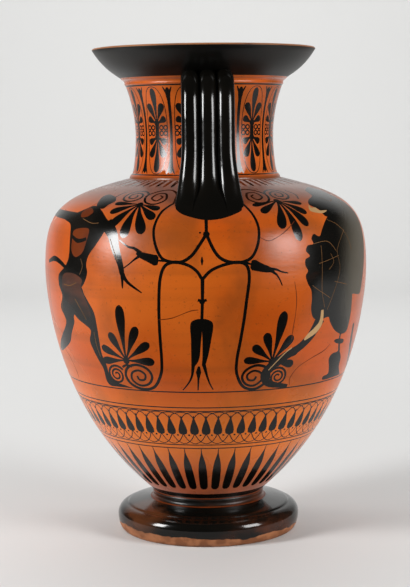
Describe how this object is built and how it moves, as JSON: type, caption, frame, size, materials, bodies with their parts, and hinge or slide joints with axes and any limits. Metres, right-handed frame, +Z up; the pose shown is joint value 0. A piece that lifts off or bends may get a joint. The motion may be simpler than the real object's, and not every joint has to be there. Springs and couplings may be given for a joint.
{
  "type": "neck amphora",
  "caption": "Hollow turned clay jar with a painted body, concave neck, flaring mouth, disc foot and a reeded handle at each side.",
  "frame": {"origin": "centre of the flat ring that the foot stands on", "axes": "+Z up along the turning axis; the handles stand on the Y axis, one at -Y and one at +Y"},
  "size_m": [0.273, 0.273, 0.41],
  "materials": {
    "painted_clay": null
  },
  "bodies": {
    "root": {"amphora": "painted_clay"}
  },
  "joints": []
}
